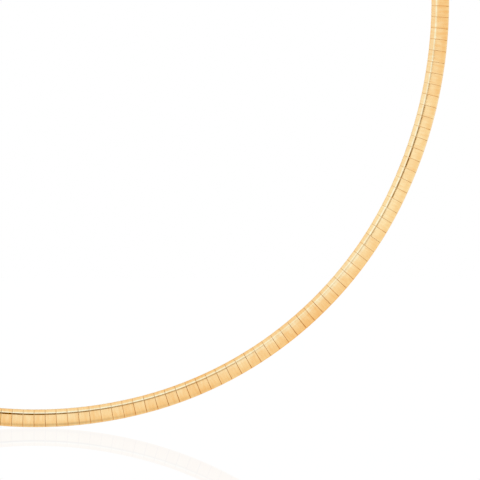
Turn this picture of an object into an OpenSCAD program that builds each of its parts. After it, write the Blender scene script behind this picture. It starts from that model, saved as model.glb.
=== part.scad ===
// Omega necklace: a row of domed plates, closed over a flat woven band and
// held in a loop by a box clasp at the back of the neck.
// The loop hangs upright in the XZ plane and shows its domed face to -Y.
// The origin is the top of the inside edge, under the middle of the clasp.
// A heading is the direction in which the band runs, in degrees: 0 at the front
// centre, 90 where it climbs at the side and 180 at the clasp.

/* [Loop] */
// Radius of the front arc, along the middle of the band
front_r = 72; // [68:0.5:76]
// Heading at which the front arc ends
front_end = 15; // [10:1:20]
// Radius of the shoulder arcs, beside the front arc
shoulder_r = 65; // [62:0.5:68]
// Heading at which the shoulder arcs end
shoulder_end = 64.5; // [55:0.5:75]
// Radius of the side arcs
side_r = 76; // [72:0.5:80]
// Heading at which the side arcs end and the back arc starts
side_end = 94; // [90:1:105]

/* [Plates] */
// Width of the band across a plate
band_w = 3; // [2.6:0.1:4]
// Thickness of the band, from the crown of a plate to the back of its lips
band_t = 1.35; // [1.2:0.05:1.8]
// Rise of the crown above the rounded edges
crown_rise = 0.35; // [0.25:0.05:0.45]
// Radius of the rounded edges
edge_r = 0.4; // [0.36:0.02:0.5]
// Thickness of the sheet that the plates are folded from
sheet_t = 0.22; // [0.15:0.01:0.25]
// Width of the opening between the two lips, at the back
back_opening = 1.6; // [1:0.1:1.8]
// Least distance from one plate to the next, along the middle of the band
least_pitch = 1.86; // [1.6:0.02:2.4]
// Gap between two plates at the inside edge of the tightest arc
plate_gap = 0.12; // [0.1:0.01:0.2]

/* [Woven band] */
// Clearance all round the woven band, inside the plates and the clasp
mesh_clearance = 0.1; // [0.06:0.01:0.12]
// Length of the weld at each place where two arcs of the woven band meet
weld_l = 0.6; // [0.4:0.1:1.2]
// How far a weld stands proud of the woven band all round
weld_proud = 0.02; // [0.01:0.01:0.04]

/* [Clasp] */
// Length of the clasp along the middle of the band
clasp_l = 11.5; // [9:0.5:15]
// How far the clasp stands proud of the plates all round
clasp_proud = 0.12; // [0.05:0.01:0.3]
// Length of the collar at each end of the clasp
collar_l = 1.2; // [0.8:0.1:2]
// How far the collars stand proud of the clasp all round
collar_proud = 0.1; // [0.05:0.01:0.2]
// Depth of the sockets that take the ends of the woven band
socket_depth = 2; // [1.5:0.1:3]
// Gap between an end of the woven band and the floor of its socket
socket_gap = 0.2; // [0.1:0.05:0.4]

/* [Hidden] */
$fn = 96;
// Smallest radius of a rounded edge, in millimetres
least_r = 0.03;
// How far outside a piece a cut along it starts, in degrees
past = 1;

// The arcs of the right half of the loop, from the front centre to the clasp.
// The back arc gets the radius that brings the band back to the middle plane.
R = 0; FROM = 1; TO = 2;
back_r = side_r + ((front_r - shoulder_r) * sin(front_end)
                 + (shoulder_r - side_r) * sin(shoulder_end)) / sin(side_end);
arcs = [[front_r, 0, front_end], [shoulder_r, front_end, shoulder_end],
        [side_r, shoulder_end, side_end], [back_r, side_end, 180]];
last = len(arcs) - 1;

// Centre [x, z] of each arc, worked out from the back arc towards the front.
// Two arcs that meet have the same heading there, so no corner shows.
back_z = band_w / 2 + clasp_proud;
function centre(i) = i == last ? [0, back_z - back_r] :
    centre(i + 1) + (arcs[i + 1][R] - arcs[i][R]) * [sin(arcs[i][TO]), -cos(arcs[i][TO])];

// Length along the middle of the band of each arc, and up to its start.
function arc_length(i) = arcs[i][R] * (arcs[i][TO] - arcs[i][FROM]) * PI / 180;
function length_before(i) = i == 0 ? 0 : length_before(i - 1) + arc_length(i - 1);
half_length = length_before(last) + arc_length(last);

// The arc that holds the point at a length s from the front centre, and its heading.
function arc_at(s, i = 0) = i == last || s < length_before(i + 1) ? i : arc_at(s, i + 1);
function heading_at(s) = let (i = arc_at(s))
    arcs[i][FROM] + (s - length_before(i)) / arcs[i][R] * 180 / PI;

// The plates fill each half of the loop from the front centre up to the clasp.
// A plate is straight, so the tightest arc sets how long it can be.
plates_per_side = floor((half_length - clasp_l / 2) / least_pitch);
pitch = (half_length - clasp_l / 2) / plates_per_side;
tightest_r = min([for (a = arcs) a[R]]);
plate_l = pitch * (1 - band_w / 2 / tightest_r) - plate_gap;

// The turn in heading along a length of an arc, and the headings where the clasp,
// its collars, its sockets and the woven band end on the right of the back centre.
function turn(i, length) = length / arcs[i][R] * 180 / PI;
clasp_end = 180 - turn(last, clasp_l / 2);
collar_end = clasp_end + turn(last, collar_l);
socket_end = clasp_end + turn(last, socket_depth);
mesh_end = socket_end - turn(last, socket_gap);

// Cross-section of the band, grown outwards by a distance, or inwards by a
// negative one. Across it is x, and y points out of the domed face. The crown is
// an arc that runs tangent into the two rounded edges.
module section(grow = 0) {
    w = band_w + 2 * grow;
    t = band_t + 2 * grow;
    r = max(edge_r + grow, least_r);
    edge_x = w / 2 - r;
    edge_y = t / 2 - crown_rise - r;
    arc_r = (edge_x * edge_x + crown_rise * crown_rise) / (2 * crown_rise);
    crown_r = arc_r + r;
    crown_half_w = crown_r * edge_x / arc_r;
    intersection() {
        translate([0, t / 2 - crown_r]) circle(crown_r);
        translate([-crown_half_w, edge_y]) square([2 * crown_half_w, t]);
    }
    for (side = [-1, 1]) {
        translate([side * edge_x, edge_y]) circle(r);
        translate([side * edge_x, r - t / 2]) circle(r);
    }
    translate([-edge_x, -t / 2]) square([2 * edge_x, t - crown_rise - r]);
    translate([-w / 2, r - t / 2]) square([w, edge_y - r + t / 2]);
}

// Cross-section of one plate: folded sheet, open at the back between its lips.
module plate_section() {
    difference() {
        section();
        section(-sheet_t);
        translate([-back_opening / 2, -band_t]) square([back_opening, band_t]);
    }
}

// Carries a cross-section along one arc, from one heading to another.
module along_arc(i, from, to) {
    translate([centre(i)[0], 0, centre(i)[1]]) rotate([90, 0, 0])
        rotate_extrude(angle = to - from, start = from - 90)
            translate([arcs[i][R], 0]) children();
}

// Sets a straight piece on the band, its middle at a length s from the front.
module on_band(s) {
    i = arc_at(s);
    translate([centre(i)[0], 0, centre(i)[1]]) rotate([90, 0, 0])
        rotate([0, 0, heading_at(s) - 90]) translate([arcs[i][R], 0, 0])
            rotate([90, 0, 0]) children();
}

module both_sides() {
    children();
    mirror([1, 0, 0]) children();
}

module plates() {
    color("#f2cc8c") both_sides()
        for (n = [0 : plates_per_side - 1]) on_band((n + 0.5) * pitch)
            linear_extrude(plate_l, center = true) plate_section();
}

// One arc of the woven band, which stops inside the welds at its two ends.
module mesh_arc(i) {
    inset = turn(i, weld_l / 4);
    from = i == 0 ? -arcs[0][TO] : arcs[i][FROM];
    to = i == last ? mesh_end : arcs[i][TO] - inset;
    along_arc(i, from + inset, to) section(-sheet_t - mesh_clearance);
}

// The weld between an arc of the woven band and the one before it.
module mesh_weld(i) {
    reach = turn(i, weld_l / 2);
    along_arc(i, arcs[i][FROM] - reach, arcs[i][FROM] + reach)
        section(weld_proud - sheet_t - mesh_clearance);
}

module mesh_band() {
    color("#c9a264") {
        mesh_arc(0);
        both_sides() for (i = [1 : last]) {
            mesh_arc(i);
            mesh_weld(i);
        }
    }
}

module clasp() {
    color("#eec888") difference() {
        union() {
            along_arc(last, clasp_end, 360 - clasp_end) section(clasp_proud);
            both_sides() along_arc(last, clasp_end, collar_end)
                section(clasp_proud + collar_proud);
        }
        both_sides() along_arc(last, clasp_end - past, socket_end) section(-sheet_t);
    }
}

plates();
mesh_band();
clasp();
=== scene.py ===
"""Finishes an omega necklace: the domed plates, the woven band inside them and the box clasp."""

import bpy
import numpy as np
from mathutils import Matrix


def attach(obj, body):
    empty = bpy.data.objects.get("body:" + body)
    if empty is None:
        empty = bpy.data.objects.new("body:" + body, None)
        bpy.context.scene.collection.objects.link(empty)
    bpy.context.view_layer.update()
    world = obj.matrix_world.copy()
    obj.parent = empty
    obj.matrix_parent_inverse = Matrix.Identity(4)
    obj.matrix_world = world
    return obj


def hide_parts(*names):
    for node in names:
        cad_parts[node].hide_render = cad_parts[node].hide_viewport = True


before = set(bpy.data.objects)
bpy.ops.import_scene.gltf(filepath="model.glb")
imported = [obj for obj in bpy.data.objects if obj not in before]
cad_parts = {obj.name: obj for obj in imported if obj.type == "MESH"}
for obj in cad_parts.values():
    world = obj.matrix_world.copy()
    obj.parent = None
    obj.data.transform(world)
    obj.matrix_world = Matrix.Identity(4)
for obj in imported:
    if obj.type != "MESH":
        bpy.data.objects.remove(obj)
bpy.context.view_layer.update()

bl_info = {
    "name": "Omega necklace finish",
    "version": (1, 0, 0),
    "blender": (4, 5, 0),
    "location": "3D View > Sidebar > Necklace",
    "description": "Builds the polished plates, woven band and clasp of an omega necklace",
    "category": "Add Mesh",
}

MM = 0.001


def size(name, description, default_mm):
    """A length, given in millimetres and kept in metres."""
    return bpy.props.FloatProperty(name=name, description=description, default=default_mm * MM,
                                   min=0.0, precision=5, unit="LENGTH")


def turn(name, description, default_degrees):
    """An angle, given in degrees and kept in radians."""
    return bpy.props.FloatProperty(name=name, description=description,
                                   default=float(np.radians(default_degrees)), unit="ROTATION")


def share(name, description, default):
    """A plain factor from 0 to 1."""
    return bpy.props.FloatProperty(name=name, description=description, default=default,
                                   min=0.0, max=1.0, subtype="FACTOR")


def tint(name, description, default):
    """A linear colour."""
    return bpy.props.FloatVectorProperty(name=name, description=description, default=default,
                                         min=0.0, max=1.0, size=3, subtype="COLOR")


class LoopSizes(bpy.types.PropertyGroup):
    """The arcs of the right half of the loop, from the front centre up to the clasp."""
    front_r: size("Front radius", "Radius of the front arc, along the middle of the band", 72)
    front_end: turn("Front end", "Heading at which the front arc ends", 15)
    shoulder_r: size("Shoulder radius", "Radius of the arcs beside the front", 65)
    shoulder_end: turn("Shoulder end", "Heading at which the shoulder arcs end", 64.5)
    side_r: size("Side radius", "Radius of the side arcs", 76)
    side_end: turn("Side end", "Heading at which the back arc starts", 94)


class PlateSizes(bpy.types.PropertyGroup):
    """One folded plate and the row that it stands in."""
    band_w: size("Width", "Width of the band across a plate", 3)
    band_t: size("Thickness", "Thickness from the crown to the back of the lips", 1.35)
    crown_rise: size("Crown rise", "Rise of the crown above the rounded edges", 0.35)
    edge_r: size("Edge radius", "Radius of the rounded edges", 0.4)
    sheet_t: size("Sheet", "Thickness of the sheet that the plates are folded from", 0.22)
    back_opening: size("Back opening", "Width of the opening between the lips", 1.6)
    least_pitch: size("Least pitch", "Least distance from one plate to the next", 1.86)
    joint: size("Joint", "Nominal gap between two plates at the front", 0.025)
    bevel: size("Bevel", "Size of the rolled edge along a plate's two ends", 0.055)
    sway: turn("Sway", "How far plates stand out of line, as one standard deviation", 0.2)


class WovenSizes(bpy.types.PropertyGroup):
    """The flat woven band inside the plates."""
    clearance: size("Clearance", "Clearance all round the band inside the plates", 0.1)
    stitch: size("Stitch", "Distance from one wire of the weave to the next", 0.5)
    slant: size("Slant", "How far a wire runs along the band while it crosses one rib", 0.4)
    relief: size("Relief", "Depth of the grooves between the wires", 0.09)


class ClaspSizes(bpy.types.PropertyGroup):
    """The box clasp."""
    clasp_l: size("Length", "Length of the clasp along the band", 11.5)
    proud: size("Proud", "How far the clasp stands proud of the plates", 0.12)
    collar_l: size("Collar", "Length of the collar at each end", 1.2)
    collar_proud: size("Collar proud", "How far a collar stands proud of the clasp", 0.1)
    socket_depth: size("Socket", "Depth of the sockets for the woven band", 2)
    socket_gap: size("Socket gap", "Gap between the woven band and the floor of a socket", 0.2)
    seam_at: size("Seam", "Distance of the parting line from the middle of the clasp", 3.2)
    seam: size("Seam depth", "Depth of the parting line", 0.035)


class Finishes(bpy.types.PropertyGroup):
    """Colours and polish of the gold."""
    gold: tint("Gold", "Colour of the polished gold", (0.955, 0.635, 0.300))
    # Painted shade: this gold colour is put into joints, folds and hollows in place of the shade that
    # falls there
    painted_shade_gold: tint("Painted shade gold", "Colour of the gold in joints and folds", (0.76, 0.31, 0.03))
    polish: share("Roughness", "Roughness of the polished faces", 0.06)


class StageSizes(bpy.types.PropertyGroup):
    """The camera, the floor and the light."""
    px_per_mm: bpy.props.FloatProperty(
        name="Scale", description="Pixels of the photograph to a millimetre", default=5.963)
    axis_px: bpy.props.FloatProperty(
        name="Axis", description="Pixel column of the middle of the necklace", default=34.96)
    front_px: bpy.props.FloatProperty(
        name="Front", description="Pixel row of the middle of the band at the front centre",
        default=417.84)
    distance: size("Distance", "Distance from the camera to the necklace", 800)
    floor_gap: size("Floor gap", "Height of the lowest point above the glossy floor", 0.07)
    mirror: share("Mirror", "Share of the floor's light that it mirrors", 0.11)


class NecklaceSettings(bpy.types.PropertyGroup):
    """Everything that a user would change."""
    loop: bpy.props.PointerProperty(type=LoopSizes)
    plates: bpy.props.PointerProperty(type=PlateSizes)
    woven: bpy.props.PointerProperty(type=WovenSizes)
    clasp: bpy.props.PointerProperty(type=ClaspSizes)
    finish: bpy.props.PointerProperty(type=Finishes)
    stage: bpy.props.PointerProperty(type=StageSizes)


class LoopPath:
    """The middle line of the band: tangent arcs in the XZ plane, mirrored about X = 0.

    A length s runs along it from the front centre, positive to the right. On each arc the
    heading grows by s / radius, and the point is centre + radius * (sin heading, -cos heading).
    """

    def __init__(self, settings):
        loop, plates, clasp = settings.loop, settings.plates, settings.clasp
        ends = np.array([loop.front_end, loop.shoulder_end, loop.side_end, np.pi])
        drift = ((loop.front_r - loop.shoulder_r) * np.sin(ends[0])
                 + (loop.shoulder_r - loop.side_r) * np.sin(ends[1]))
        back_r = loop.side_r + drift / np.sin(ends[2])
        self.radius = np.array([loop.front_r, loop.shoulder_r, loop.side_r, back_r])
        self.start = np.concatenate([[0.0], ends[:-1]])
        lengths = self.radius * (ends - self.start)
        self.before = np.concatenate([[0.0], np.cumsum(lengths)[:-1]])
        self.half_length = lengths.sum()
        back_z = plates.band_w / 2 + clasp.proud
        meets = np.stack([np.sin(ends[:-1]), -np.cos(ends[:-1])], axis=1)
        steps = np.diff(self.radius)[:, None] * meets
        towards_front = np.cumsum(steps[::-1], axis=0)[::-1]
        self.centre = np.array([[0.0, back_z - back_r]]) + np.vstack([towards_front, [[0.0, 0.0]]])

    def arc(self, s):
        """The number of the arc at each length s."""
        return np.searchsorted(self.before, np.abs(s), side="right") - 1

    def at(self, s):
        """Points (x, z) and headings at the lengths s."""
        arc = self.arc(s)
        heading = self.start[arc] + (np.abs(s) - self.before[arc]) / self.radius[arc]
        x = self.centre[arc, 0] + self.radius[arc] * np.sin(heading)
        z = self.centre[arc, 1] - self.radius[arc] * np.cos(heading)
        side = np.where(s < 0, -1.0, 1.0)
        return np.stack([side * x, z], axis=-1), side * heading

    def directions(self, s, along, across, front):
        """World vectors of vectors given along the band, outwards across it and to the front."""
        heading = self.at(s)[1]
        x = along * np.cos(heading) + across * np.sin(heading)
        z = along * np.sin(heading) - across * np.cos(heading)
        return np.stack(np.broadcast_arrays(x, -front, z), axis=-1)

    def places(self, s, along, across, front):
        """World points at such offsets from the middle of the band at the lengths s."""
        middle = self.at(s)[0]
        offset = self.directions(s, along, across, front)
        return offset + np.stack([middle[..., 0], 0 * middle[..., 0], middle[..., 1]], axis=-1)


def section_outline(plates, grow, lip_x, crown_steps=(0.5, 1.0)):
    """The band's cross-section: points (across, front), their normals and the length round it.

    It starts at the back, lip_x from the middle, and runs straight to a back corner arc, up
    the side, round an edge arc and over the crown arc, each tangent to the next, and down
    the other side. grow moves it outwards. crown_steps gives places on the crown as shares
    of its half width, negative ones on the inner side of the loop.
    """
    w, t = plates.band_w / 2 + grow, plates.band_t / 2 + grow
    r = max(plates.edge_r + grow, 0.03 * MM)
    edge_x, edge_y = w - r, t - plates.crown_rise - r
    arc_r = (edge_x ** 2 + plates.crown_rise ** 2) / (2 * plates.crown_rise)
    slope = np.arcsin(edge_x / arc_r)
    side = np.array([-np.pi, -np.pi * 0.75, -np.pi / 2, -np.pi / 2, -(np.pi / 2 + slope) / 2, -slope])
    crown = np.arcsin(np.asarray(crown_steps) * np.sin(slope))
    lean = np.concatenate([[-np.pi], side, crown, -side[::-1], [np.pi]])
    half = len(side) + 1
    centre = np.zeros((len(lean), 2))
    centre[:half, 0], centre[-half:, 0] = -edge_x, edge_x
    centre[:4, 1] = centre[-4:, 1] = r - t
    centre[4:half, 1] = centre[-half:-4, 1] = edge_y
    centre[half:-half, 1] = t - arc_r - r
    radius = np.full(len(lean), r)
    radius[half:-half] = arc_r + r
    normal = np.stack([np.sin(lean), np.cos(lean)], axis=1)
    point = centre + radius[:, None] * normal
    point[0], point[-1] = (-lip_x, -t), (lip_x, -t)
    around = np.concatenate([[0.0], np.cumsum(np.linalg.norm(np.diff(point, axis=0), axis=1))])
    return point, normal, around


class Skin:
    """Faces over shared points, with a normal and a map place (u, v) in mm at each corner."""

    def __init__(self):
        self.corners, self.sizes, self.normals, self.maps = [], [], [], []

    def patch(self, index, normal, u, v):
        """Quads of a grid over the last two axes: its first runs along, its second across.

        Seen from outside, the second direction is a quarter turn to the right of the first.
        """
        u, v = np.broadcast_arrays(u / MM, v / MM, index)[:2]
        grid = np.concatenate([index[..., None], np.broadcast_to(normal, (*index.shape, 3)),
                               u[..., None], v[..., None]], axis=-1)
        ring = [grid[..., :-1, :-1, :], grid[..., :-1, 1:, :], grid[..., 1:, 1:, :],
                grid[..., 1:, :-1, :]]
        rows = np.stack(ring, axis=-2).reshape(-1, 6)
        self.add(rows, len(rows) // 4, 4)

    def flat(self, ring, normal):
        """Flat faces: each has its corners over the last axis, anticlockwise from outside."""
        rows = np.concatenate([ring[..., None], np.broadcast_to(normal, (*ring.shape, 3)),
                               np.zeros((*ring.shape, 2))], axis=-1).reshape(-1, 6)
        self.add(rows, len(rows) // ring.shape[-1], ring.shape[-1])

    def add(self, rows, count, corners):
        """Keeps count faces of as many corners each, one row a corner."""
        self.corners.append(rows[:, 0].astype(np.int32))
        self.normals.append(rows[:, 1:4])
        self.maps.append(rows[:, 4:6])
        self.sizes.append(np.full(count, corners))

    def piece(self, name, points, values, material):
        """The finished object, with one value a point for each named attribute."""
        corners, sizes = np.concatenate(self.corners), np.concatenate(self.sizes)
        mesh = bpy.data.meshes.new(name)
        mesh.vertices.add(points.size // 3)
        mesh.vertices.foreach_set("co", np.ascontiguousarray(points, dtype=np.float32).ravel())
        mesh.loops.add(len(corners))
        mesh.loops.foreach_set("vertex_index", corners)
        mesh.polygons.add(len(sizes))
        starts = np.concatenate([[0], np.cumsum(sizes)[:-1]]).astype(np.int32)
        mesh.polygons.foreach_set("loop_start", starts)
        mesh.update(calc_edges=True)
        mesh.polygons.foreach_set("use_smooth", np.ones(len(sizes), dtype=bool))
        for label, data in values.items():
            data = np.broadcast_to(data, points.shape[:-1]).astype(np.float32)
            mesh.attributes.new(label, "FLOAT", "POINT").data.foreach_set("value", data.ravel())
        maps = np.concatenate(self.maps).astype(np.float32)
        mesh.uv_layers.new(name="UVMap").data.foreach_set("uv", maps.ravel())
        normals = np.concatenate(self.normals)
        normals /= np.maximum(np.linalg.norm(normals, axis=1, keepdims=True), 1e-9)
        mesh.normals_split_custom_set(normals.tolist())
        if mesh.validate(clean_customdata=False):
            raise RuntimeError(f"{name} has faces that had to be repaired")
        mesh.materials.append(material)
        piece = bpy.data.objects.new(name, mesh)
        bpy.context.scene.collection.objects.link(piece)
        return piece


def smooth(value, start, end):
    """0 up to start and 1 from end on, eased between them."""
    t = np.clip((value - start) / (end - start), 0.0, 1.0)
    return t * t * (3 - 2 * t)


# Tables of the row of plates: (mm from the front centre, value), or right of it where that is said
# Painted sheen and shade along the band: how much paler, or darker when negative, the gold is made
PAINTED_SHEEN_AND_SHADE = [(0, 0.06), (14, 0.02), (22, 0.0), (29, -0.12), (36, 0.07), (40, 0.05), (43, -0.05),
        (50, -0.19), (60, 0.08), (73, 0.27), (94, 0.1), (102, -0.16), (216, 0.0)]
# Painted shade on a few plates: how much darker their gold is made, right of the front centre
PAINTED_SHADE_PLATES = [(-10, 0.0), (-7, -0.17), (-4.4, -0.17), (-3.6, 0.0)]
# How far the joints have slipped along the band, in mm, right of the front centre
JOINT_SLIP = [(-216, 0.0), (-60, 0.0), (0, -0.22), (8, -0.17), (22, 0.03), (38, 0.12), (48, 0.07),
              (68, 0.05), (84, -0.06), (98, -0.11), (101, 0.03), (110, 0.1), (150, 0.0), (216, 0.0)]
# How wide the joints are, as shares of the nominal joint
JOINT_WIDTH = [(12, 1.0), (20, 1.25), (40, 1.15), (50, 0.85), (62, 0.45), (76, 0.32)]
# How far the joints lean, in mm along the band for each mm outwards across it
JOINT_LEAN = [(5, 0.0), (45, -0.035), (110, -0.035), (150, 0.0)]
# How much of the extra roll the ends have at the band's rims
RIM_ROLL = [(10, 0.3), (22, 1.0), (52, 0.8), (75, 0.0)]
# How much painted shade the rolled ends get, as darker gold in place of the shade in the joints
END_SHADE = [(10, 0.6), (20, 1.0), (52, 0.95), (62, 0.45), (72, 0.38)]


def read_table(table, place):
    """Values at places in metres, between the rows of a table of (mm, value)."""
    rows, values = np.array(table).T
    return np.interp(place / MM, rows, values)


def plate_joints(settings, path):
    """The lengths along the band at which its joints lie: evenly spread, then slipped."""
    row_end = path.half_length - settings.clasp.clasp_l / 2
    count = int(row_end / settings.plates.least_pitch)
    joints = np.arange(-count, count + 1) * row_end / count
    return joints + read_table(JOINT_SLIP, joints) * MM


def build_plates(settings, path, material):
    """The row of plates: each is the folded section carried along its length, and closed.

    Along a plate, the outside has four stations: at its two ends it has shrunk by the
    rolled edge's size, and the inside has two. An end lies on the loop's radius there, so
    the joint is as wide at the outside of the loop as at the inside, where the edges are
    rolled less. In the side walls the joints all but close, and beside the front the ends
    are rolled more there. Every plate has its own turn, gaps and gold, from one seed.
    """
    plates = settings.plates
    joints = plate_joints(settings, path)
    s = ((joints[1:] + joints[:-1]) / 2)[:, None, None]
    from_front = np.abs(s)
    crown_steps = (-0.62, -0.36, 0.1, 0.6)
    lip = plates.back_opening / 2
    outer, face, around = section_outline(plates, 0.0, lip, crown_steps)
    inner = section_outline(plates, -plates.sheet_t, lip, crown_steps)[0]
    far_side = outer[:, 0] > 0
    # Masks over the section: 1 in the side walls, and 1 on the crown
    rim = smooth(np.abs(outer[:, 0]), 1.05 * MM, 1.3 * MM)
    crown = smooth(outer[:, 0], -0.85 * MM, -0.5 * MM) * smooth(outer[:, 0], 1.5 * MM, 1.1 * MM)

    tone_spread, end_spread, gap_range, shade_range = 0.038, 0.022, (0.4, 1.6), (0.7, 1.3)
    random = np.random.default_rng(seed=7)
    roll, yaw = random.normal(0.0, plates.sway, (2, len(s), 1, 1))
    own_tone = random.normal(0.0, tone_spread, s.shape)
    end_tone = random.normal(0.0, end_spread, s.shape)
    own_gaps = random.uniform(*gap_range, (2, len(s), 1, 1))
    own_shade = random.uniform(*shade_range, s.shape)

    # Shares of the rolled edge's size, away from the crown on the inside of the loop and behind
    near_roll, back_roll = 0.6, 0.6
    roll_share = np.where(far_side, 1.0, near_roll + (1 - near_roll) * crown)
    roll_size = plates.bevel * np.where(outer[:, 1] > 0, roll_share, back_roll)
    ends = outer - roll_size[:, None] * face
    section = np.stack([ends, outer, outer, ends, inner, inner])
    across, front = section[..., 0], section[..., 1]

    # The six stations: the end that each lies at, whether the rolled edge sets it in, whether
    # it is on the outside of the sheet, and how far the surface leans along the band there
    end_lean, face_lean = 1.4, 0.004
    end_sign = np.array([-1, -1, 1, 1, 1, -1])[:, None]
    set_in = np.array([0, 1, 1, 0, 0, 0])[:, None]
    outside = np.array([1, 1, 1, 1, -1, -1])[:, None]
    lean = np.array([-end_lean, -face_lean, face_lean, end_lean, 0, 0])[:, None]

    closed_by, least_gap, far_more, near_more = 0.75, 0.003 * MM, 1.2, 0.4
    gaps = own_gaps * plates.joint / 2 * read_table(JOINT_WIDTH, from_front)
    gaps = np.maximum(gaps * (1 - closed_by * rim), least_gap)
    more_roll = read_table(RIM_ROLL, from_front) * rim * np.where(far_side, far_more, near_more)
    reach = np.diff(joints)[:, None, None] / 2 * (1 + across / path.radius[path.arc(s)])
    inset = set_in * roll_size * (1 + more_roll)
    askew = np.sign(s) * read_table(JOINT_LEAN, from_front) * across
    along = end_sign * (reach - np.where(end_sign < 0, gaps[0], gaps[1]) - inset) + askew
    points = path.places(s, along, across + roll * front, front - roll * across + yaw * along)
    index = np.arange(points.size // 3).reshape(points.shape[:-1])

    normal_across = outside * face[:, 0] + roll * face[:, 1]
    normal_front = outside * face[:, 1] - roll * face[:, 0]
    normal = path.directions(s, lean - yaw * normal_front, normal_across, normal_front)
    forward = path.directions(s, 1.0, 0.0, 0.0)
    outward = path.directions(s, 0.0, 1.0, 0.0)
    u = s + along
    skin = Skin()
    for rows in (slice(0, 4), slice(4, 6)):
        skin.patch(index[:, rows], normal[:, rows], u[:, rows], around)
    skin.flat(np.concatenate([index[:, 3], index[:, 4, ::-1]], axis=-1), forward[:, 0])
    skin.flat(np.concatenate([index[:, 5], index[:, 0, ::-1]], axis=-1), -forward[:, 0])
    skin.flat(index[:, [5, 0, 1, 2, 3, 4], 0], outward[:, 0])
    skin.flat(index[:, [5, 4, 3, 2, 1, 0], -1], -outward[:, 0])

    # Painted shade: the rolled ends darken towards the shaded gold, more away from the crown, and the
    # inside of the sheet fully
    off_crown = 0.3
    end_shade = own_shade * read_table(END_SHADE, from_front) * (1 + off_crown * (1 - crown))
    end_shade = np.abs(lean) / end_lean * np.minimum(end_shade, 1.0)
    shade = np.where(outside > 0, end_shade, 1.0)
    # Paleness of each plate: a random part of its own, with painted sheen and painted shade along the
    # band and on a few plates
    tone_and_painted_light = own_tone + read_table(PAINTED_SHEEN_AND_SHADE, from_front) + read_table(PAINTED_SHADE_PLATES, s)
    tone_and_painted_light = tone_and_painted_light + end_tone * end_sign
    return skin.piece("plate_row", points, {"shade": shade, "tone_and_painted_light": tone_and_painted_light}, material)


def build_woven_band(settings, path, material):
    """The woven band: its section carried along the loop, with wires raised on its back.

    The back is split into ribs. A wire crosses a rib at a slant, up one rib and down the
    next, so they make rows of Vs: a point of the back is moved along by
    slant * (distance to the rib's start, in ribs), and the wire's height is a round hump
    over each stitch, times a low dome over the rib.
    """
    plates, clasp, woven = settings.plates, settings.clasp, settings.woven
    reach = path.half_length - clasp.clasp_l / 2 + clasp.socket_depth - clasp.socket_gap
    ribs, columns, rows = 4, 4, 4
    dome_foot, plain_shade, map_width = 0.45, 0.35, 7 * MM
    count = int(2 * reach / woven.stitch)
    s = np.linspace(-reach, reach, count * rows + 1)[:, None]
    outline = section_outline(plates, -plates.sheet_t - woven.clearance, 0.0, (0.0,))[0][1:-1]
    place = np.linspace(0, ribs, ribs * columns + 1)[1:-1]
    back_x = outline[-1, 0] * (1 - 2 * place / ribs)
    zigzag = 1 - np.abs(place % 2 - 1)
    wire = np.sqrt(1 - (np.arange(len(s)) % rows / rows * 2 - 1) ** 2)[:, None]
    dome = dome_foot + (1 - dome_foot) * np.sqrt(np.maximum(1 - (place % 1 * 2 - 1) ** 2, 0.0))
    height = wire * dome
    fade = smooth(reach - np.abs(s), 0.0, 2 * woven.slant)
    across = np.concatenate([outline[:, 0], back_x])
    back = outline[-1, 1] + woven.relief * (1 - height)
    front = np.concatenate([np.broadcast_to(outline[:, 1], (len(s), len(outline))), back], axis=1)
    shift = np.concatenate([0 * outline[:, 0], woven.slant * zigzag]) * fade
    # Painted shade: the band inside the plates is darkened a little all over, and most between the
    # wires
    shade = np.concatenate([np.full((len(s), len(outline)), plain_shade), 1 - height], axis=1)
    points = path.places(s + shift, 0.0, across, front)
    index = np.arange(points.size // 3).reshape(points.shape[:-1])
    ring = np.concatenate([index, index[:, :1]], axis=1)
    skin = Skin()
    skin.patch(ring, 0.0, s, np.linspace(0, map_width, ring.shape[1]))
    skin.flat(index[0, ::-1], (0, 0, 0))
    skin.flat(index[-1], (0, 0, 0))
    return skin.piece("woven_band", points, {"shade": shade, "tone_and_painted_light": 0.0}, material)


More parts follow.
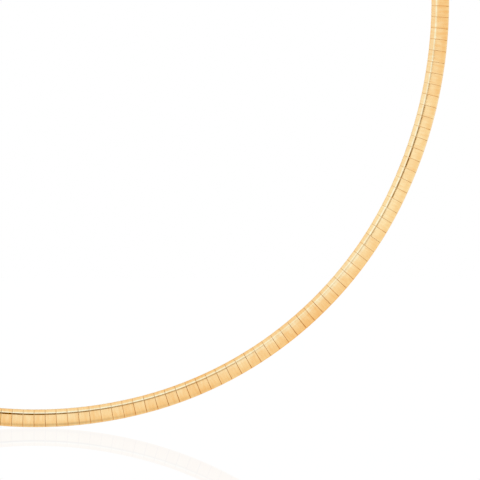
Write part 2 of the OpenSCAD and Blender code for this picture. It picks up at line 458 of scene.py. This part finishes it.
def build_clasp(settings, path, material):
    """The box clasp: the section carried round the back arc through a table of stations.

    Each station has its distance from the middle, how far the section is grown there, and
    how far the surface leans along the band. The last four line the two open sockets.
    """
    plates, clasp = settings.plates, settings.clasp
    half, body, collar = clasp.clasp_l / 2, clasp.proud, clasp.proud + clasp.collar_proud
    inner, edge, step, dip = half - clasp.collar_l, 0.05 * MM, 0.02 * MM, clasp.seam
    # Right half of the stations: (distance from the middle, growth, lean in degrees)
    end = [(inner - edge, body, 2), (inner - step, body + step, -50), (inner, collar - edge, -70),
           (inner + edge, collar, -4), (half - edge, collar, 4), (half, collar - edge, 60)]
    at = clasp.seam_at
    seam = [(at - 2 * dip, body, 0), (at - dip / 2, body - dip, 40), (at + dip / 2, body - dip, -40),
            (at + 2 * dip, body, 0)]
    left = [(-distance, grow, -lean) for distance, grow, lean in reversed(end)]
    distance, grow, lean = np.array(left + [(0, body, 0)] + seam + end).T
    lean = np.radians(lean)[:, None]
    crown_steps = (-0.66, -0.33, 0.0, 0.33, 0.66)
    rings = [section_outline(plates, g, 0.0, crown_steps) for g in (*grow, -plates.sheet_t)]
    outline = np.stack([ring[0] for ring in rings])
    face, around = rings[0][1], rings[0][2]
    socket = half - clasp.socket_depth
    distance = np.concatenate([distance, [half, socket, -socket, -half]])[:, None]
    outline = np.concatenate([outline, np.repeat(outline[-1:], 3, axis=0)])
    s = path.half_length + distance
    points = path.places(s, 0.0, outline[:, :-1, 0], outline[:, :-1, 1])
    index = np.arange(points.size // 3).reshape(points.shape[:-1])
    ring = np.concatenate([index, index[:, :1]], axis=1)
    mouth, floor, left_floor, left_mouth = range(len(grow), len(s))
    outside = path.directions(s[:mouth], np.sin(lean), np.cos(lean) * face[:, 0],
                              np.cos(lean) * face[:, 1])
    inside = path.directions(s, 0.0, -face[:, 0], -face[:, 1])
    forward = path.directions(s, 1.0, 0.0, 0.0)
    skin = Skin()
    skin.patch(ring[:mouth], outside, s[:mouth], around)
    skin.patch(ring[[mouth - 1, mouth]], forward[mouth], 0.0, around)
    for rows in ([mouth, floor], [left_floor, left_mouth]):
        skin.patch(ring[rows], inside[rows], s[rows], around)
    skin.patch(ring[[left_mouth, 0]], -forward[left_mouth], 0.0, around)
    skin.flat(index[floor], forward[floor, 0])
    skin.flat(index[left_floor, ::-1], -forward[left_floor, 0])
    # Painted shade: darker gold down in the parting line, and at the mouths and floors of the sockets
    seam_shade, mouth_shade = 0.8, 0.7
    sunk = np.clip((body - grow) / dip, 0.0, seam_shade)
    shade = np.concatenate([sunk, [mouth_shade, 1.0, 1.0, mouth_shade]])[:, None]
    return skin.piece("box_clasp", points, {"shade": shade, "tone_and_painted_light": 0.0}, material)


def add_node(tree, kind, inputs=None, **settings):
    """A shader node with its settings, and its inputs linked to sockets or set to values."""
    node = tree.nodes.new(kind)
    for key, value in settings.items():
        setattr(node, key, value)
    for key, value in (inputs or {}).items():
        if isinstance(value, bpy.types.NodeSocket):
            tree.links.new(value, node.inputs[key])
        else:
            node.inputs[key].default_value = value
    return node


def calc(tree, operation, first, second=0.0, third=0.0):
    """The result of one Math node."""
    return add_node(tree, "ShaderNodeMath", {0: first, 1: second, 2: third},
                    operation=operation).outputs[0]


def product(tree, first, *others):
    """Values times each other."""
    for other in others:
        first = calc(tree, "MULTIPLY", first, other)
    return first


def total(tree, first, *others):
    """The sum of values."""
    for other in others:
        first = calc(tree, "ADD", first, other)
    return first


def vector(tree, operation, *terms):
    """The vector result of one Vector Math node."""
    return add_node(tree, "ShaderNodeVectorMath", dict(enumerate(terms)),
                    operation=operation).outputs[0]


def scaled(tree, color, amount):
    """A colour times a value."""
    return add_node(tree, "ShaderNodeVectorMath", {0: color, "Scale": amount},
                    operation="SCALE").outputs[0]


def mix(tree, amount, first, second):
    """A colour between two colours."""
    return add_node(tree, "ShaderNodeMix", {0: amount, 6: first, 7: second},
                    data_type="RGBA").outputs[2]


def ease(tree, value, start, end):
    """0 up to start and 1 from end on, eased between them; start may lie beyond end."""
    return add_node(tree, "ShaderNodeMapRange", {0: value, 1: start, 2: end},
                    interpolation_type="SMOOTHSTEP").outputs[0]


def noise(tree, place, scale, detail):
    """A noise value round 0.5."""
    return add_node(tree, "ShaderNodeTexNoise", {"Vector": place, "Scale": scale,
                                                 "Detail": detail}).outputs[0]


def levels(tree, degrees, table):
    """A value read from a table of (angle in degrees, value), eased between its rows."""
    half_turn = 180.0
    node = add_node(tree, "ShaderNodeValToRGB", {0: calc(tree, "DIVIDE", degrees, half_turn)})
    node.color_ramp.interpolation = "EASE"
    entries = node.color_ramp.elements
    entries[0].position = table[0][0] / half_turn
    entries[1].position = table[-1][0] / half_turn
    for angle, _ in table[1:-1]:
        entries.new(angle / half_turn)
    for entry, (_, value) in zip(entries, table):
        entry.color = (value, value, value, 1.0)
    return node.outputs[0]


def new_group(name, inputs, outputs):
    """An empty shader node group with named inputs, as (name, default), and named outputs."""
    tree = bpy.data.node_groups.new(name, "ShaderNodeTree")
    for label, default in inputs:
        kind = "NodeSocketVector" if isinstance(default, tuple) else "NodeSocketFloat"
        tree.interface.new_socket(label, in_out="INPUT", socket_type=kind).default_value = default
    for label in outputs:
        tree.interface.new_socket(label, in_out="OUTPUT", socket_type="NodeSocketFloat")
    return tree, tree.nodes.new("NodeGroupInput").outputs, tree.nodes.new("NodeGroupOutput").inputs


def brushed_lines_group():
    """Fine polishing lines across the band. The map's first axis runs along it, in mm."""
    tree, given, result = new_group(
        "Brushed lines", [("Map", (0.0, 0.0, 0.0)), ("Lines per mm", 9.0), ("Waviness", 0.25)],
        ["Height", "Streak"])
    split = add_node(tree, "ShaderNodeSeparateXYZ", {0: given["Map"]}).outputs
    across = product(tree, split[1], given["Waviness"])
    place = add_node(tree, "ShaderNodeCombineXYZ", {0: split[0], 1: across}).outputs[0]
    lines = noise(tree, place, scale=given["Lines per mm"], detail=3.0)
    wide = noise(tree, place, scale=2.2, detail=2.0)
    tree.links.new(calc(tree, "SUBTRACT", lines, 0.5), result["Height"])
    tree.links.new(calc(tree, "SUBTRACT", wide, 0.5), result["Streak"])
    return tree


def handling_wear_group():
    """Wear from handling: broad cloudy rubbing and sparse small dents, as masks."""
    tree, given, result = new_group(
        "Handling wear", [("Place", (0.0, 0.0, 0.0)), ("Cloud size mm", 4.0)],
        ["Rubbed", "Dents"])
    cloud_scale = calc(tree, "DIVIDE", 1.0 / MM, given["Cloud size mm"])
    cloud = noise(tree, given["Place"], scale=cloud_scale, detail=4.0)
    dents = noise(tree, given["Place"], scale=3.5 / MM, detail=2.0)
    tree.links.new(ease(tree, cloud, 0.38, 0.68), result["Rubbed"])
    tree.links.new(ease(tree, dents, 0.66, 0.78), result["Dents"])
    return tree


def shared(tree, name, builder, inputs):
    """A shared node group, built once, set into a material with its own values."""
    group = bpy.data.node_groups.get(name) or builder()
    return add_node(tree, "ShaderNodeGroup", inputs, node_tree=group).outputs


def gold_material(name, finish, roughness, streaks, line_height_mm):
    """Polished gold with brushed lines, rubbed patches, and painted shade in joints and folds.

    The piece's "shade" is 0 on open faces and 1 where the painted shade is darkest, and its paleness
    value says how much paler, or darker when negative, each plate's gold is: a random part of
    its own, with painted sheen and painted shade along the band.
    """
    material = bpy.data.materials.new(name)
    material.use_nodes = True
    tree = material.node_tree
    shader = tree.nodes["Principled BSDF"]
    band_map = add_node(tree, "ShaderNodeUVMap", uv_map="UVMap").outputs[0]
    place = add_node(tree, "ShaderNodeTexCoord").outputs["Object"]
    lines = shared(tree, "Brushed lines", brushed_lines_group, {"Map": band_map})
    wear = shared(tree, "Handling wear", handling_wear_group, {"Place": place})
    shade = add_node(tree, "ShaderNodeAttribute", attribute_name="shade").outputs["Fac"]
    tone_and_painted_light = add_node(tree, "ShaderNodeAttribute", attribute_name="tone_and_painted_light").outputs["Fac"]
    gold, pale_tint = tuple(finish.gold), (0.1, 0.5, 1.0)
    # Paler or darker gold from the streaks and the paleness value, which holds painted sheen and
    # painted shade
    pale = scaled(tree, pale_tint, calc(tree, "MULTIPLY_ADD", lines["Streak"], streaks, tone_and_painted_light))
    open_gold = vector(tree, "MULTIPLY_ADD", pale, gold, gold)
    # Painted shade: the colour goes towards the shaded gold where the shade value is high, in joints,
    # folds and hollows
    color = mix(tree, shade, open_gold, (*finish.painted_shade_gold, 1.0))
    tree.links.new(color, shader.inputs["Base Color"])
    rougher_rubbed, rougher_deep, dent_depth = 0.05, 0.3, 0.15
    rubbed = calc(tree, "MULTIPLY_ADD", wear["Rubbed"], rougher_rubbed, roughness)
    rough = calc(tree, "MULTIPLY_ADD", shade, rougher_deep, rubbed)
    tree.links.new(rough, shader.inputs["Roughness"])
    shader.inputs["Metallic"].default_value = 1.0
    relief = calc(tree, "MULTIPLY_ADD", wear["Dents"], -dent_depth, lines["Height"])
    bump = add_node(tree, "ShaderNodeBump", {"Height": relief, "Strength": 1.0,
                                             "Distance": line_height_mm * MM})
    tree.links.new(bump.outputs[0], shader.inputs["Normal"])
    return material


class NECKLACE_OT_plates(bpy.types.Operator):
    """Builds the row of folded plates"""
    bl_idname = "necklace.plates"
    bl_label = "Plates"

    def execute(self, context):
        settings = context.scene.necklace
        finish = settings.finish
        material = gold_material("plate_gold", finish, finish.polish, streaks=0.9,
                                 line_height_mm=0.003)
        piece = build_plates(settings, LoopPath(settings), material)
        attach(piece, "root")
        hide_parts("plates")
        return {"FINISHED"}


class NECKLACE_OT_woven_band(bpy.types.Operator):
    """Builds the flat woven band inside the plates"""
    bl_idname = "necklace.woven_band"
    bl_label = "Woven band"

    def execute(self, context):
        settings = context.scene.necklace
        finish = settings.finish
        duller = 0.14
        material = gold_material("woven_gold", finish, finish.polish + duller, streaks=0.6,
                                 line_height_mm=0.004)
        piece = build_woven_band(settings, LoopPath(settings), material)
        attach(piece, "root")
        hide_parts("mesh_band")
        return {"FINISHED"}


class NECKLACE_OT_clasp(bpy.types.Operator):
    """Builds the box clasp at the back of the neck"""
    bl_idname = "necklace.clasp"
    bl_label = "Clasp"

    def execute(self, context):
        settings = context.scene.necklace
        finish = settings.finish
        duller = 0.03
        material = gold_material("clasp_gold", finish, finish.polish + duller, streaks=0.3,
                                 line_height_mm=0.0015)
        piece = build_clasp(settings, LoopPath(settings), material)
        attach(piece, "root")
        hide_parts("clasp")
        return {"FINISHED"}


def studio_angles(tree, way):
    """Two angles of a direction, in degrees: from the front or back, and from straight up.

    Near level, the tent's right side shows what its left side has further down, so the
    second angle is larger there than it measures.
    """
    off_axis = calc(tree, "DEGREES", calc(tree, "ARCCOSINE", calc(tree, "ABSOLUTE", way[1])))
    sideways = calc(tree, "ABSOLUTE", way[0])
    from_top = calc(tree, "DEGREES", calc(tree, "ARCTAN2", sideways, way[2]))
    right = ease(tree, way[0], -0.05, 0.1)
    level = product(tree, ease(tree, from_top, 74.0, 80.0), ease(tree, from_top, 106.0, 92.0))
    further_down = 14.0
    return off_axis, total(tree, from_top, product(tree, right, level, further_down))


def studio_slit(tree, off_axis, from_top):
    """The dark slit round the front, as the shares of red, green and blue that it takes.

    It is wider where it is deeper, and a little narrower in red than in the other two.
    """
    place = levels(tree, from_top, [(4, 33), (12, 33.5), (26, 33.5), (32, 35), (48, 32.5), (55, 30.5),
                                    (59, 25), (64, 24.5), (68, 25.5), (73, 29), (80, 30)])
    depth = levels(tree, from_top, [(4, 0.9), (11, 0.6), (20, 0.48), (28, 0.4), (33, 0.25),
                                    (38, 0.02), (44, 0.0), (54, 0.28), (60, 0.48), (64, 0.84),
                                    (69, 0.76), (74, 0.22), (80, 0.0)])
    least_width, deep_width, edge, floor = 0.65, 0.5, 7.2, 4.2
    narrower_red, shares = 1.4, (0.97, 1.07, 1.22)
    away = calc(tree, "ABSOLUTE", calc(tree, "SUBTRACT", off_axis, place))
    width = total(tree, product(tree, depth, deep_width), least_width)
    slit = ease(tree, calc(tree, "DIVIDE", away, width), edge, floor)
    red = product(tree, calc(tree, "POWER", slit, narrower_red), depth)
    other = product(tree, slit, depth)
    dark = add_node(tree, "ShaderNodeCombineXYZ", {0: red, 1: other, 2: other}).outputs[0]
    return vector(tree, "MULTIPLY", dark, shares)


def studio_lamps(tree, off_axis, from_top):
    """Cool light: a lamp just outside the slit, a pale haze inside it and soft side lights."""
    lamp_at = levels(tree, from_top, [(0, 43.5), (14, 42.5), (27, 45.5), (36, 42), (44, 40.5), (52, 42),
                                      (60, 38), (74, 37.5), (80, 31.5), (86, 28.5)])
    lamp_reach = levels(tree, from_top, [(78, 12.5), (84, 18)])
    lamp_level = levels(tree, from_top, [(4, 0.43), (9, 0.38), (14, 0.44), (22, 0.52), (28, 0.36),
                                         (36, 0.25), (44, 0.31), (52, 0.17), (60, 0.34), (72, 0.27),
                                         (80, 0.4), (86, 0.5), (90, 0.0)])
    from_lamp = calc(tree, "SUBTRACT", off_axis, lamp_at)
    lamp = product(tree, ease(tree, from_lamp, -6.0, -1.0), ease(tree, from_lamp, lamp_reach, 0.5),
                   lamp_level)

    haze_level = levels(tree, from_top, [(0, 0.02), (27, 0.0), (34, 0.14), (44, 0.2), (52, 0.14),
                                         (60, 0.0), (72, 0.0), (80, 0.1), (86, 0.15), (90, 0.0)])
    haze = product(tree, ease(tree, off_axis, 0.0, 20.0), ease(tree, from_lamp, 6.0, -4.0),
                   haze_level)

    side_from = levels(tree, from_top, [(44, 50), (48, 42), (53, 42), (60, 50), (72, 38), (86, 36),
                                        (93, 60)])
    side_to = total(tree, side_from, 16.0)
    side_level = levels(tree, from_top, [(36, 0.0), (45, 0.05), (50, 0.07), (56, 0.01), (64, 0.02),
                                         (76, 0.08), (86, 0.09), (93, 0.04), (106, 0.05), (122, 0.0)])
    side = product(tree, ease(tree, off_axis, side_from, side_to), side_level)

    edge_level = levels(tree, from_top, [(92, 0.0), (100, 0.05), (108, 0.05), (116, 0.0)])
    edge = product(tree, ease(tree, off_axis, 66.0, 76.0), edge_level)
    return total(tree, lamp, haze, side, edge)


def studio_warmth(tree, off_axis, from_top):
    """Warm light: from the tent's lower half, its upper rim and its sides, and in the slit."""
    lower_level = 0.2
    lower_from = levels(tree, from_top, [(95, 4), (101, 13), (114, 14), (121, 4)])
    lower = product(tree, ease(tree, off_axis, lower_from, 48.0), ease(tree, from_top, 89.0, 93.0),
                    lower_level)

    rim_level = levels(tree, from_top, [(16, 0.0), (23, 0.15), (30, 0.22), (36, 0.0)])
    rim = product(tree, ease(tree, off_axis, 48.0, 60.0), rim_level)

    side_level = levels(tree, from_top, [(89, 0.4), (93, 0.0), (122, 0.0), (132, 0.28), (138, 0.36),
                                         (146, 0.26), (154, 0.0)])
    side = product(tree, ease(tree, off_axis, 70.0, 80.0), side_level)

    glow_level = levels(tree, from_top, [(54, 0.0), (60, 0.13), (72, 0.13), (80, 0.0)])
    glow = product(tree, ease(tree, off_axis, 4.0, 16.0), ease(tree, off_axis, 34.0, 24.0),
                   glow_level)
    return total(tree, lower, rim, side, glow)


def studio_shadow(tree, way, off_axis, from_top):
    """Grey shadow: a band near the floor, and a dark card in two opposite corners."""
    floor_level = levels(tree, from_top, [(144, 0.0), (154, 0.05), (168, 0.13), (178, 0.27)])
    near_floor = product(tree, ease(tree, off_axis, 38.0, 60.0), ease(tree, off_axis, 74.0, 66.0),
                         floor_level)
    card_level = 0.75
    corner = ease(tree, product(tree, way[0], way[2]), 0.09, 0.2)
    low = ease(tree, calc(tree, "ABSOLUTE", way[2]), 0.8, 0.55)
    card = product(tree, corner, low, ease(tree, off_axis, 66.0, 76.0), card_level)
    return total(tree, near_floor, card)


def studio_world(world):
    """A white surround for the camera, and a soft tent of light for the gold to mirror.

    A direction is given by its angle from the front or back, which a domed plate spreads
    over its width, and by its angle from straight up, which the heading of the band turns.
    Tables give (angle from straight up, value): a level, or the angle from the front or
    back at which a thing lies. The light is white + cool * lamps - warm * warmth - shadow,
    and the slit takes its share of all that.
    """
    world.use_nodes = True
    tree = world.node_tree
    direction = add_node(tree, "ShaderNodeTexCoord").outputs["Generated"]
    way = add_node(tree, "ShaderNodeSeparateXYZ", {0: direction}).outputs
    off_axis, from_top = studio_angles(tree, way)
    white, cool, warm, even = (1.0, 1.03, 1.04), (0.05, 1.0, 2.7), (0.1, 0.45, 1.0), (1.0, 1.0, 1.0)
    lamps = scaled(tree, cool, studio_lamps(tree, off_axis, from_top))
    warmth = scaled(tree, warm, studio_warmth(tree, off_axis, from_top))
    shadow = scaled(tree, even, studio_shadow(tree, way, off_axis, from_top))
    light = vector(tree, "SUBTRACT", vector(tree, "ADD", white, lamps), warmth)
    light = vector(tree, "SUBTRACT", light, shadow)
    left_over = vector(tree, "SUBTRACT", even, studio_slit(tree, off_axis, from_top))
    light = vector(tree, "MULTIPLY", light, left_over)
    seen = add_node(tree, "ShaderNodeLightPath").outputs["Is Camera Ray"]
    color = mix(tree, seen, light, (1.0, 1.0, 1.0, 1.0))
    tree.links.new(color, tree.nodes["Background"].inputs["Color"])


def floor_material(mirror):
    """A glossy white floor with its own light and a faint mirror image, clear from below."""
    material = bpy.data.materials.new("white_floor")
    material.use_nodes = True
    tree = material.node_tree
    tree.nodes.remove(tree.nodes["Principled BSDF"])
    white = (1.0, 1.0, 1.0, 1.0)
    glow = add_node(tree, "ShaderNodeEmission", {"Color": white}).outputs[0]
    gloss = add_node(tree, "ShaderNodeBsdfGlossy", {"Color": white, "Roughness": 0.015}).outputs[0]
    both = add_node(tree, "ShaderNodeMixShader", {0: mirror, 1: glow, 2: gloss}).outputs[0]
    below = add_node(tree, "ShaderNodeNewGeometry").outputs["Backfacing"]
    clear = add_node(tree, "ShaderNodeBsdfTransparent").outputs[0]
    seen = add_node(tree, "ShaderNodeMixShader", {0: below, 1: both, 2: clear}).outputs[0]
    tree.links.new(seen, tree.nodes["Material Output"].inputs["Surface"])
    return material


class NECKLACE_OT_stage(bpy.types.Operator):
    """Sets up the camera, the white floor and the soft light"""
    bl_idname = "necklace.stage"
    bl_label = "Stage"

    def execute(self, context):
        settings = context.scene.necklace
        stage, path = settings.stage, LoopPath(settings)
        front_z = path.at(np.array(0.0))[0][1]
        middle_px, image_px = 239.5, 480
        camera = bpy.data.objects.new("camera", bpy.data.cameras.new("camera"))
        context.scene.collection.objects.link(camera)
        camera.location = ((middle_px - stage.axis_px) / stage.px_per_mm * MM, -stage.distance,
                           front_z + (stage.front_px - middle_px) / stage.px_per_mm * MM)
        camera.rotation_euler = (np.pi / 2, 0.0, 0.0)
        camera.data.sensor_width = 36.0
        field = image_px / stage.px_per_mm * MM
        camera.data.lens = camera.data.sensor_width * stage.distance / field
        camera.data.clip_end = 10.0
        context.scene.camera = camera

        floor_z = front_z - settings.plates.band_w / 2 - stage.floor_gap
        reach = 3.0
        corners = np.array([[-reach, -reach, floor_z], [reach, -reach, floor_z],
                            [reach, reach, floor_z], [-reach, reach, floor_z]])
        skin = Skin()
        skin.flat(np.arange(4), (0.0, 0.0, 1.0))
        floor = skin.piece("floor", corners, {}, floor_material(stage.mirror))
        floor.visible_glossy = floor.visible_diffuse = floor.visible_shadow = False

        world = bpy.data.worlds.new("studio")
        context.scene.world = world
        studio_world(world)
        context.scene.view_settings.view_transform = "Standard"
        return {"FINISHED"}


OPERATORS = (NECKLACE_OT_stage, NECKLACE_OT_plates, NECKLACE_OT_woven_band, NECKLACE_OT_clasp)


class NECKLACE_PT_panel(bpy.types.Panel):
    """Lists the pieces of the necklace"""
    bl_label = "Omega necklace"
    bl_idname = "NECKLACE_PT_panel"
    bl_space_type = "VIEW_3D"
    bl_region_type = "UI"
    bl_category = "Necklace"

    def draw(self, context):
        for operator in OPERATORS:
            self.layout.operator(operator.bl_idname)


CLASSES = (LoopSizes, PlateSizes, WovenSizes, ClaspSizes, Finishes, StageSizes, NecklaceSettings,
           *OPERATORS, NECKLACE_PT_panel)


def register():
    for item in CLASSES:
        bpy.utils.register_class(item)
    bpy.types.Scene.necklace = bpy.props.PointerProperty(type=NecklaceSettings)


def unregister():
    del bpy.types.Scene.necklace
    for item in reversed(CLASSES):
        bpy.utils.unregister_class(item)


def main():
    register()
    bpy.ops.necklace.stage()
    bpy.ops.necklace.plates()
    bpy.ops.necklace.woven_band()
    bpy.ops.necklace.clasp()


if __name__ == "__main__":
    main()
